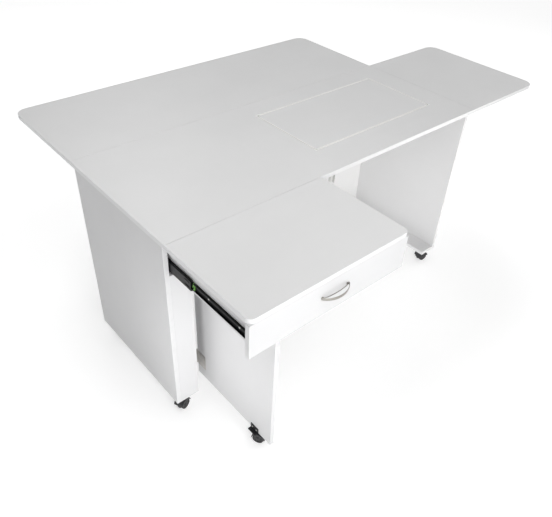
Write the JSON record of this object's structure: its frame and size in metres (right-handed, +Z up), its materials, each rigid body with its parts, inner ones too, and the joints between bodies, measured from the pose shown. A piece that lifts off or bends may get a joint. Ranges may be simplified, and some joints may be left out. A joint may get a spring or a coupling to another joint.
{
  "type": "sewing table",
  "caption": "Laminated sewing table on castors with a flush insert over a machine lift, folding leaves at back, right and front, a pull-out drawer and a swing-out support leg.",
  "frame": {"origin": "on the floor, under the middle of the table's plan with every leaf open and the drawer out", "axes": "+X to the table's right along its length, +Y from the drawer towards the rear leaf, +Z up"},
  "size_m": [1.897, 1.422, 0.76],
  "materials": {
    "top_laminate": "satin",
    "panel_laminate": "satin",
    "drawer_base": "satin",
    "slide_steel": "satin",
    "lever_plastic": "satin",
    "black_steel": "satin",
    "castor_plastic": "satin",
    "castor_tread": "matte",
    "satin_nickel": "brushed",
    "hinge_steel": "satin",
    "grey_steel": "satin",
    "guide_plastic": "matte"
  },
  "bodies": {
    "cabinet": {"main_top": "top_laminate", "left_side_panel": "panel_laminate", "right_side_panel": "panel_laminate", "back_panel": "panel_laminate", "left_stile": "panel_laminate", "drawer_divider": "panel_laminate", "leg_partition": "panel_laminate", "left_foot_board": "panel_laminate", "right_foot_board": "panel_laminate", "insert_ledges": "grey_steel", "slide_outer_members": "slide_steel", "castor_plates": "black_steel", "leg_hinge_fixed_plates": "hinge_steel", "rear_hinge_fixed_plates": "hinge_steel", "fold_hinge_fixed_barrels": "hinge_steel", "brace_channels": "grey_steel", "arm_guides": "guide_plastic", "lift_tracks": "grey_steel"},
    "front_leaf": {"front_leaf": "top_laminate", "front_hinge_moving_barrels": "hinge_steel"},
    "right_leaf": {"right_leaf": "top_laminate", "right_hinge_moving_barrels": "hinge_steel"},
    "rear_leaf": {"rear_leaf": "top_laminate", "rear_hinge_moving_plates": "hinge_steel", "brace_brackets": "grey_steel"},
    "rear_braces": {"rear_braces": "grey_steel"},
    "front_arm": {"front_support_arm": "panel_laminate"},
    "rear_arm": {"rear_support_arm": "panel_laminate"},
    "insert": {"insert_board": "top_laminate"},
    "lift": {"lift_platform": "panel_laminate", "platform_brackets": "grey_steel", "lift_carriages": "guide_plastic"},
    "drawer": {"drawer_front": "panel_laminate", "drawer_left_side": "panel_laminate", "drawer_right_side": "panel_laminate", "drawer_back": "panel_laminate", "drawer_bottom": "drawer_base", "leg_rest_batten": "panel_laminate", "slide_inner_members": "slide_steel", "drawer_handle": "satin_nickel", "slide_release_levers": "lever_plastic"},
    "slide_middles": {"slide_middle_members": "slide_steel"},
    "leg": {"leg_panel": "panel_laminate", "leg_hinge_moving_plates": "hinge_steel", "leg_castor_bracket": "black_steel"},
    "front_left_castor": {"front_left_castor_hood": "castor_plastic"},
    "front_left_wheels": {"front_left_castor_wheels": "castor_tread"},
    "front_right_castor": {"front_right_castor_hood": "castor_plastic"},
    "front_right_wheels": {"front_right_castor_wheels": "castor_tread"},
    "rear_left_castor": {"rear_left_castor_hood": "castor_plastic"},
    "rear_left_wheels": {"rear_left_castor_wheels": "castor_tread"},
    "rear_right_castor": {"rear_right_castor_hood": "castor_plastic"},
    "rear_right_wheels": {"rear_right_castor_wheels": "castor_tread"},
    "leg_castor": {"leg_castor_hood": "castor_plastic"},
    "leg_wheels": {"leg_castor_wheels": "castor_tread"}
  },
  "joints": [
    {"name": "front_leaf_fold", "type": "hinge", "parent": "cabinet", "child": "front_leaf", "pos_m": [-0.652, -0.3135, 0.7603], "axis": [-1, 0, 0], "range_deg": [0, 180]},
    {"name": "right_leaf_fold", "type": "hinge", "parent": "cabinet", "child": "right_leaf", "pos_m": [0.498, -0.0305, 0.7603], "axis": [0, -1, 0], "range_deg": [0, 180]},
    {"name": "rear_leaf_drop", "type": "hinge", "parent": "cabinet", "child": "rear_leaf", "pos_m": [-0.2255, 0.2525, 0.7408], "axis": [-1, 0, 0], "range_deg": [0, 90]},
    {"name": "brace_turn", "type": "hinge", "parent": "rear_leaf", "child": "rear_braces", "pos_m": [-0.2255, 0.4225, 0.731], "axis": [-1, 0, 0], "range_deg": [-132.5, 0]},
    {"name": "drawer_slide", "type": "slide", "parent": "cabinet", "child": "drawer", "axis": [0, 1, 0], "range_m": [0, 0.37]},
    {"name": "slide_middle_travel", "type": "slide", "parent": "cabinet", "child": "slide_middles", "axis": [0, 1, 0], "range_m": [0, 0.108]},
    {"name": "leg_swing", "type": "hinge", "parent": "cabinet", "child": "leg", "pos_m": [-0.8043, -0.215, 0.337], "axis": [0, 0, 1], "range_deg": [0, 90]},
    {"name": "insert_lift_out", "type": "slide", "parent": "cabinet", "child": "insert", "axis": [0, 0, -1], "range_m": [-0.15, 0]},
    {"name": "platform_lift", "type": "slide", "parent": "cabinet", "child": "lift", "axis": [0, 0, -1], "range_m": [0, 0.24]},
    {"name": "front_arm_slide", "type": "slide", "parent": "cabinet", "child": "front_arm", "axis": [-1, 0, 0], "range_m": [0, 0.34]},
    {"name": "rear_arm_slide", "type": "slide", "parent": "cabinet", "child": "rear_arm", "axis": [-1, 0, 0], "range_m": [0, 0.34]},
    {"name": "front_left_castor_swivel", "type": "hinge", "parent": "cabinet", "child": "front_left_castor", "pos_m": [-0.9035, -0.273, 0.048], "axis": [0, 0, 1], "continuous": true},
    {"name": "front_left_wheel_spin", "type": "hinge", "parent": "front_left_castor", "child": "front_left_wheels", "pos_m": [-0.91666, -0.27779, 0.02], "axis": [-0.342, 0.9397, 0], "continuous": true},
    {"name": "front_right_castor_swivel", "type": "hinge", "parent": "cabinet", "child": "front_right_castor", "pos_m": [0.4525, -0.273, 0.048], "axis": [0, 0, 1], "continuous": true},
    {"name": "front_right_wheel_spin", "type": "hinge", "parent": "front_right_castor", "child": "front_right_wheels", "pos_m": [0.43871, -0.27057, 0.02], "axis": [0.1736, 0.9848, 0], "continuous": true},
    {"name": "rear_left_castor_swivel", "type": "hinge", "parent": "cabinet", "child": "rear_left_castor", "pos_m": [-0.9035, 0.179, 0.048], "axis": [0, 0, 1], "continuous": true},
    {"name": "rear_left_wheel_spin", "type": "hinge", "parent": "rear_left_castor", "child": "rear_left_wheels", "pos_m": [-0.88971, 0.18143, 0.02], "axis": [0.1736, -0.9848, 0], "continuous": true},
    {"name": "rear_right_castor_swivel", "type": "hinge", "parent": "cabinet", "child": "rear_right_castor", "pos_m": [0.4525, 0.179, 0.048], "axis": [0, 0, 1], "continuous": true},
    {"name": "rear_right_wheel_spin", "type": "hinge", "parent": "rear_right_castor", "child": "rear_right_wheels", "pos_m": [0.46397, 0.18703, 0.02], "axis": [0.5736, -0.8192, 0], "continuous": true},
    {"name": "leg_castor_swivel", "type": "hinge", "parent": "leg", "child": "leg_castor", "pos_m": [-0.7995, -0.545, 0.048], "axis": [0, 0, 1], "continuous": true},
    {"name": "leg_wheel_spin", "type": "hinge", "parent": "leg_castor", "child": "leg_wheels", "pos_m": [-0.7925, -0.55712, 0.02], "axis": [-0.866, -0.5, 0], "continuous": true}
  ],
  "couplings": [
    {"joint": "brace_turn", "follows": "rear_leaf_drop", "ratio": -1.4703},
    {"joint": "slide_middle_travel", "follows": "drawer_slide", "ratio": 0.29189}
  ]
}
